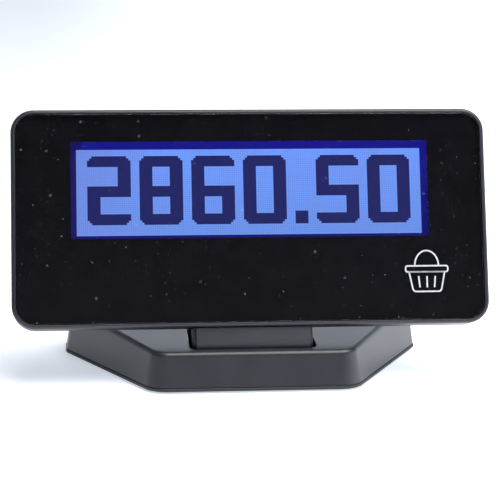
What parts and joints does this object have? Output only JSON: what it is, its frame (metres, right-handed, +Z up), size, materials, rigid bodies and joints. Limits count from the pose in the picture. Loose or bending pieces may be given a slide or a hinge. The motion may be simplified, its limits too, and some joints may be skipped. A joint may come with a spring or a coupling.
{
  "type": "customer display",
  "caption": "Desk customer display: blue backlit dot-matrix LCD behind a glossy black front, tilting on a short friction-hinged arm in a low wedge base.",
  "frame": {"origin": "centre of the base's footprint, on the surface that the feet stand on", "axes": "+X to the right of the customer who faces the display, +Y away from that customer, +Z up"},
  "size_m": [0.1424, 0.094, 0.0805],
  "materials": {
    "housing": "fine satin spark texture, dark grey",
    "base_underside": "matt black",
    "foot_rubber": "matt",
    "lens": "polished black window panel, clear over the display",
    "tape": "foam tape",
    "lcd": "backlit blue cell, polished",
    "white_moulding": "semi-matt white",
    "acrylic": "polished clear",
    "film": "diffusing film",
    "elastomer": "matt",
    "board": "green solder mask",
    "chip": "moulded black",
    "tinplate": "tinned",
    "steel": "zinc plated",
    "screw_steel": "black zinc",
    "bronze": "bronze"
  },
  "bodies": {
    "base": {"base_shell": "housing", "base_plate": "base_underside", "ballast_plate": "steel", "hinge_bracket": "steel", "foot_1": "foot_rubber", "foot_2": "foot_rubber", "foot_3": "foot_rubber", "foot_4": "foot_rubber", "base_screw_1": "screw_steel", "base_screw_2": "screw_steel", "base_screw_3": "screw_steel", "base_screw_4": "screw_steel", "ballast_screw_1": "screw_steel", "ballast_screw_2": "screw_steel", "bracket_screw_1": "screw_steel", "bracket_screw_2": "screw_steel"},
    "head": {"front_bezel": "housing", "front_lens": "lens", "lens_adhesive": "tape", "rear_cover": "housing", "lcd_shield": "tinplate", "lcd_holder": "white_moulding", "lcd_glass": "lcd", "diffuser": "film", "light_guide": "acrylic", "led_strip": "white_moulding", "contact_strip": "elastomer", "display_board": "board", "controller_chip": "chip", "usb_chip": "chip", "usb_socket": "tinplate", "board_screw_1": "screw_steel", "board_screw_2": "screw_steel", "board_screw_3": "screw_steel", "board_screw_4": "screw_steel", "cover_screw_1": "screw_steel", "cover_screw_2": "screw_steel", "cover_screw_3": "screw_steel", "cover_screw_4": "screw_steel", "leaf_screw_1": "screw_steel", "leaf_screw_2": "screw_steel", "arm_cover": "housing", "arm_body": "housing", "arm_core": "steel", "arm_screw_1": "screw_steel", "arm_screw_2": "screw_steel", "hinge_shaft": "steel", "hinge_nut": "steel", "friction_washer_left": "bronze", "friction_washer_right": "bronze", "spring_washer_left": "steel", "spring_washer_right": "steel"}
  },
  "joints": [
    {"name": "head_tilt", "type": "hinge", "parent": "base", "child": "head", "pos_m": [0, -0.0356, 0.0132], "axis": [-1, 0, 0], "range_deg": [-18.5, 21.5]}
  ]
}
